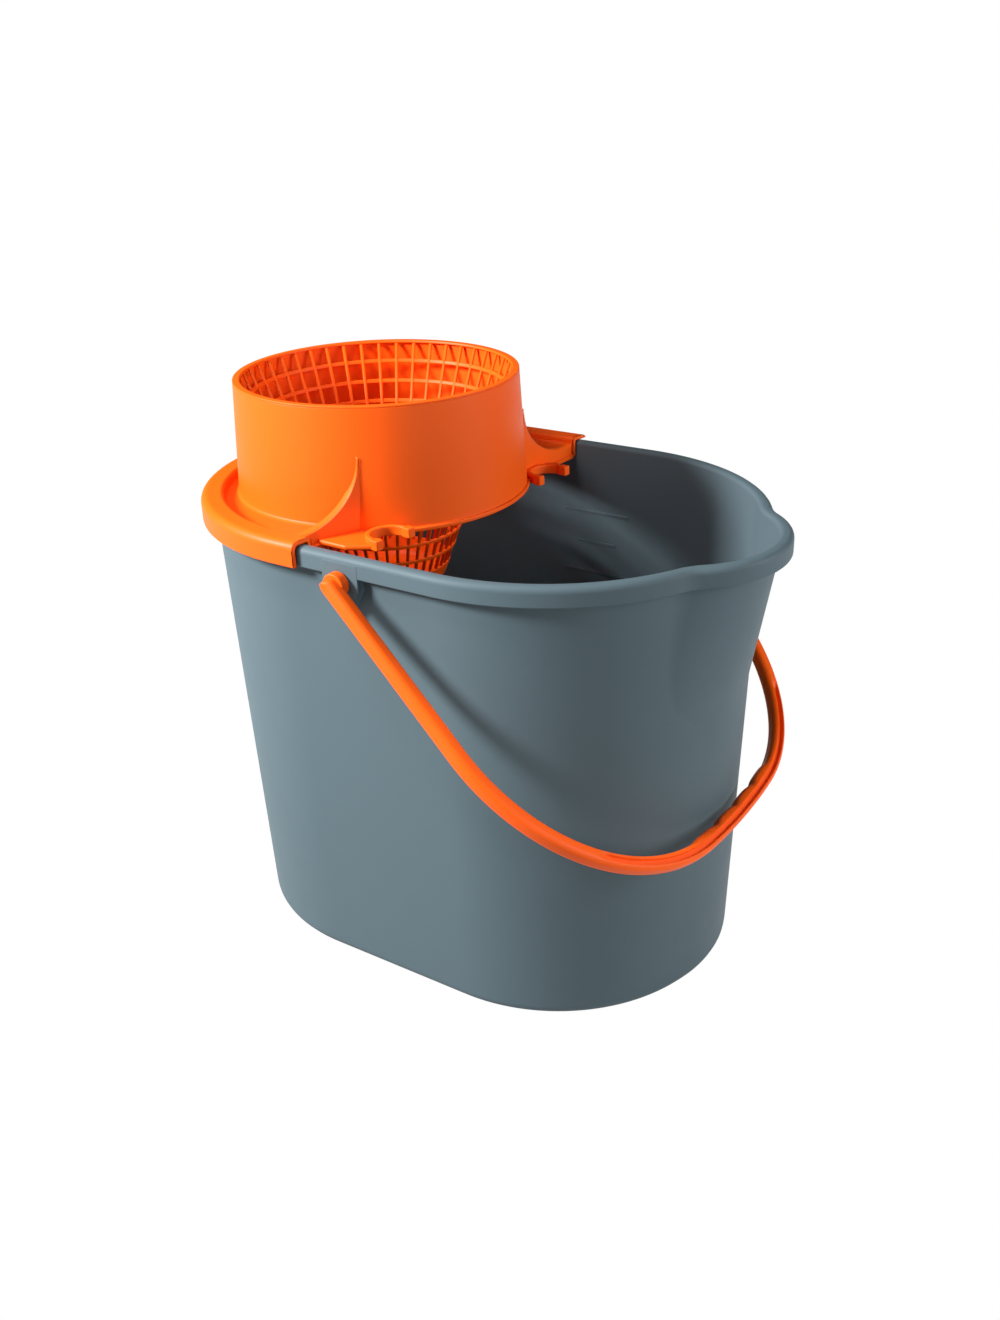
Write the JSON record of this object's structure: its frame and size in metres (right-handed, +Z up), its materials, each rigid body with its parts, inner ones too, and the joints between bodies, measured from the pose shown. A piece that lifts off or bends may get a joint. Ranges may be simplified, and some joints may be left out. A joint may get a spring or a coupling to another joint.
{
  "type": "mop bucket with wringer",
  "caption": "Oval plastic mop bucket with pouring spout, drop-in lattice-cone wringer hung on its rim and a swinging bail handle.",
  "frame": {"origin": "centre of the bucket's underside, in the plane of its foot ring", "axes": "+Z up; +X along the bucket towards the pouring spout, with the wringer at the -X end; +Y across the bucket along the handle's pivot axis"},
  "size_m": [0.3554, 0.287, 0.3327],
  "materials": {
    "grey_plastic": "blue-grey moulded polypropylene with a soft satin face",
    "orange_plastic": "bright orange moulded polypropylene with a satin gloss"
  },
  "bodies": {
    "bucket": {"bucket_body": "grey_plastic"},
    "wringer": {"wringer_collar": "orange_plastic", "wringer_basket": "orange_plastic"},
    "bail": {"bail_handle": "orange_plastic"}
  },
  "joints": [
    {"name": "bail_swing", "type": "hinge", "parent": "bucket", "child": "bail", "pos_m": [-0.007, 0, 0.2557], "axis": [0, -1, 0], "range_deg": [0, 264]},
    {"name": "wringer_lift", "type": "slide", "parent": "bucket", "child": "wringer", "axis": [0, 0, 1], "range_m": [0, 0.08]}
  ]
}
